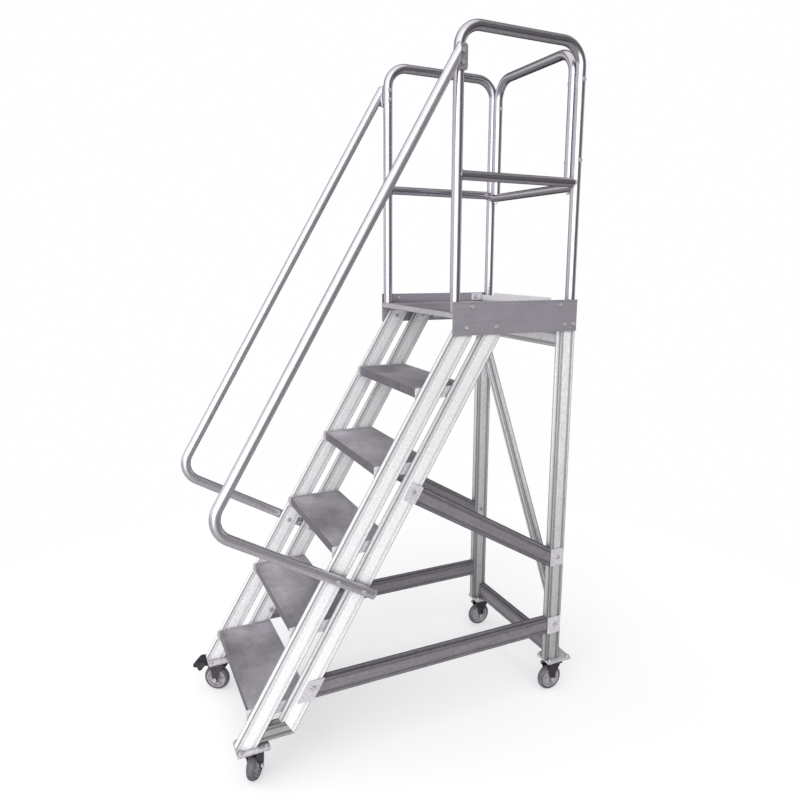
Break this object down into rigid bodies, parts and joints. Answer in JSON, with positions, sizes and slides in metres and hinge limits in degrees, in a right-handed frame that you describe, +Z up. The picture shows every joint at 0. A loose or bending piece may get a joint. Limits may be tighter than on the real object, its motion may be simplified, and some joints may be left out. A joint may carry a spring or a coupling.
{
  "type": "rolling warehouse ladder",
  "caption": "Aluminium rolling warehouse ladder with ribbed treads, a guarded platform, handrails and braked swivel casters",
  "frame": {"origin": "on the floor under the middle of the ladder's plan outline, at the middle of its width and of its depth", "axes": "+Z up, +Y from the foot of the steps towards the back of the platform, +X to the right-hand side of a person climbing"},
  "size_m": [0.6888, 1.3472, 2.403],
  "materials": {
    "profile_aluminium": "satin anodised extrusion with grooves along its length",
    "tube_aluminium": "satin anodised round tube",
    "ribbed_aluminium": "extruded with an anti-slip ribbed top, worn bright on the ribs",
    "sheet_aluminium": "plain mill-finish plate",
    "cast_aluminium": "bright formed brackets",
    "bright_steel": "zinc plated",
    "zinc_steel": "pressed steel, dull zinc plating",
    "tyre_rubber": "grey-black solid rubber tyre",
    "grey_plastic": "moulded grey nylon hub",
    "black_paint": "black enamelled brake pedal"
  },
  "bodies": {
    "frame": {"base_bar_left": "profile_aluminium", "base_bar_right": "profile_aluminium", "brace_left": "profile_aluminium", "brace_right": "profile_aluminium", "caster_bolts": "bright_steel", "caster_kingpins": "bright_steel", "caster_plates": "bright_steel", "deck_bearers": "cast_aluminium", "foot_plates": "cast_aluminium", "foot_rail_left": "profile_aluminium", "foot_rail_right": "profile_aluminium", "frame_bolts": "bright_steel", "guard_loop_left": "tube_aluminium", "guard_loop_right": "tube_aluminium", "handrail_left": "tube_aluminium", "handrail_right": "tube_aluminium", "joint_cleats": "cast_aluminium", "leg_left": "profile_aluminium", "leg_right": "profile_aluminium", "mid_rail_left": "tube_aluminium", "mid_rail_rear": "tube_aluminium", "mid_rail_right": "tube_aluminium", "platform_deck": "ribbed_aluminium", "platform_nosing": "ribbed_aluminium", "rear_beam": "profile_aluminium", "rear_crossbar": "profile_aluminium", "rear_diagonal": "profile_aluminium", "rear_hoop": "tube_aluminium", "side_plate_left": "sheet_aluminium", "side_plate_right": "sheet_aluminium", "stringer_front_left": "profile_aluminium", "stringer_front_right": "profile_aluminium", "stringer_rear_left": "profile_aluminium", "stringer_rear_right": "profile_aluminium", "toe_board": "sheet_aluminium", "tread_1": "ribbed_aluminium", "tread_2": "ribbed_aluminium", "tread_3": "ribbed_aluminium", "tread_4": "ribbed_aluminium", "tread_5": "ribbed_aluminium", "tread_brackets_left": "cast_aluminium", "tread_brackets_right": "cast_aluminium"},
    "swivel_front_right": {"fork_front_right": "zinc_steel", "axle_front_right": "bright_steel"},
    "wheel_front_right": {"hub_front_right": "grey_plastic", "tyre_front_right": "tyre_rubber"},
    "brake_front_right": {"pedal_front_right": "black_paint"},
    "swivel_front_left": {"fork_front_left": "zinc_steel", "axle_front_left": "bright_steel"},
    "wheel_front_left": {"hub_front_left": "grey_plastic", "tyre_front_left": "tyre_rubber"},
    "brake_front_left": {"pedal_front_left": "black_paint"},
    "swivel_rear_right": {"fork_rear_right": "zinc_steel", "axle_rear_right": "bright_steel"},
    "wheel_rear_right": {"hub_rear_right": "grey_plastic", "tyre_rear_right": "tyre_rubber"},
    "swivel_rear_left": {"fork_rear_left": "zinc_steel", "axle_rear_left": "bright_steel"},
    "wheel_rear_left": {"hub_rear_left": "grey_plastic", "tyre_rear_left": "tyre_rubber"}
  },
  "joints": [
    {"name": "swivel_front_right", "type": "hinge", "parent": "frame", "child": "swivel_front_right", "pos_m": [0.272, -0.5681, 0.118], "axis": [0, 0, 1], "continuous": true},
    {"name": "wheel_front_right", "type": "hinge", "parent": "swivel_front_right", "child": "wheel_front_right", "pos_m": [0.25582, -0.55634, 0.05], "axis": [-0.5878, -0.809, 0], "continuous": true},
    {"name": "brake_front_right", "type": "hinge", "parent": "swivel_front_right", "child": "brake_front_right", "pos_m": [0.23964, -0.54459, 0.104], "axis": [-0.5878, -0.809, 0], "range_deg": [0, 12]},
    {"name": "swivel_front_left", "type": "hinge", "parent": "frame", "child": "swivel_front_left", "pos_m": [-0.272, -0.5681, 0.118], "axis": [0, 0, 1], "continuous": true},
    {"name": "wheel_front_left", "type": "hinge", "parent": "swivel_front_left", "child": "wheel_front_left", "pos_m": [-0.28347, -0.58448, 0.05], "axis": [0.8192, -0.5736, 0], "continuous": true},
    {"name": "brake_front_left", "type": "hinge", "parent": "swivel_front_left", "child": "brake_front_left", "pos_m": [-0.29494, -0.60087, 0.104], "axis": [0.8192, -0.5736, 0], "range_deg": [0, 12]},
    {"name": "swivel_rear_right", "type": "hinge", "parent": "frame", "child": "swivel_rear_right", "pos_m": [0.272, 0.6239, 0.118], "axis": [0, 0, 1], "continuous": true},
    {"name": "wheel_rear_right", "type": "hinge", "parent": "swivel_rear_right", "child": "wheel_rear_right", "pos_m": [0.272, 0.6039, 0.05], "axis": [1, 0, 0], "continuous": true},
    {"name": "swivel_rear_left", "type": "hinge", "parent": "frame", "child": "swivel_rear_left", "pos_m": [-0.272, 0.6239, 0.118], "axis": [0, 0, 1], "continuous": true},
    {"name": "wheel_rear_left", "type": "hinge", "parent": "swivel_rear_left", "child": "wheel_rear_left", "pos_m": [-0.272, 0.6039, 0.05], "axis": [1, 0, 0], "continuous": true}
  ]
}
